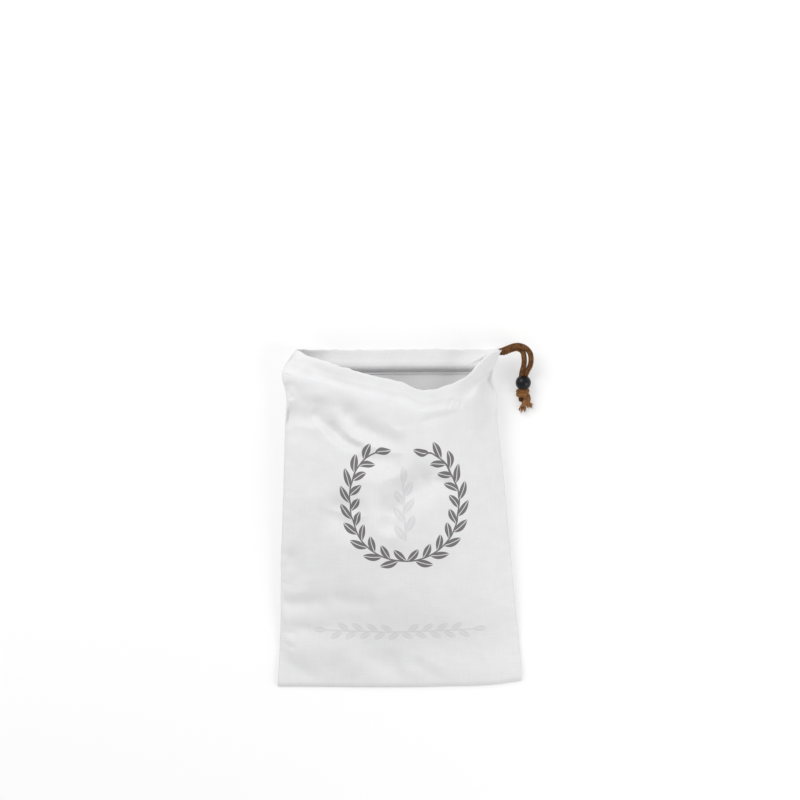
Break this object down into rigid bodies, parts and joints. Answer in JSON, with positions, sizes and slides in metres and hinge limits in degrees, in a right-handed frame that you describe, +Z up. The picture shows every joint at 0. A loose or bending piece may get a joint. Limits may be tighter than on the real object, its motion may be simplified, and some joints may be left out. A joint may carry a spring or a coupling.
{
  "type": "drawstring bread bag",
  "caption": "White cotton drawstring bag lying open and rounded, its cord leaving one end of the casing through a round bead to a knot.",
  "frame": {"origin": "middle of the bag's footprint, on the surface that it lies on", "axes": "+Y from the closed bottom towards the mouth, +X across towards the side where the cord leaves, +Z up from the surface"},
  "size_m": [0.2655, 0.3572, 0.0708],
  "materials": {
    "cotton": "plain-woven bleached cotton",
    "cord": "braided cotton, brown",
    "bead": "near black, satin"
  },
  "bodies": {
    "root": {"front_panel": "cotton", "back_panel": "cotton", "cord_in_casing": "cord", "strand_outer": "cord", "strand_inner": "cord", "knot": "cord", "tail_left": "cord", "tail_right": "cord", "bead": "bead"}
  },
  "joints": []
}
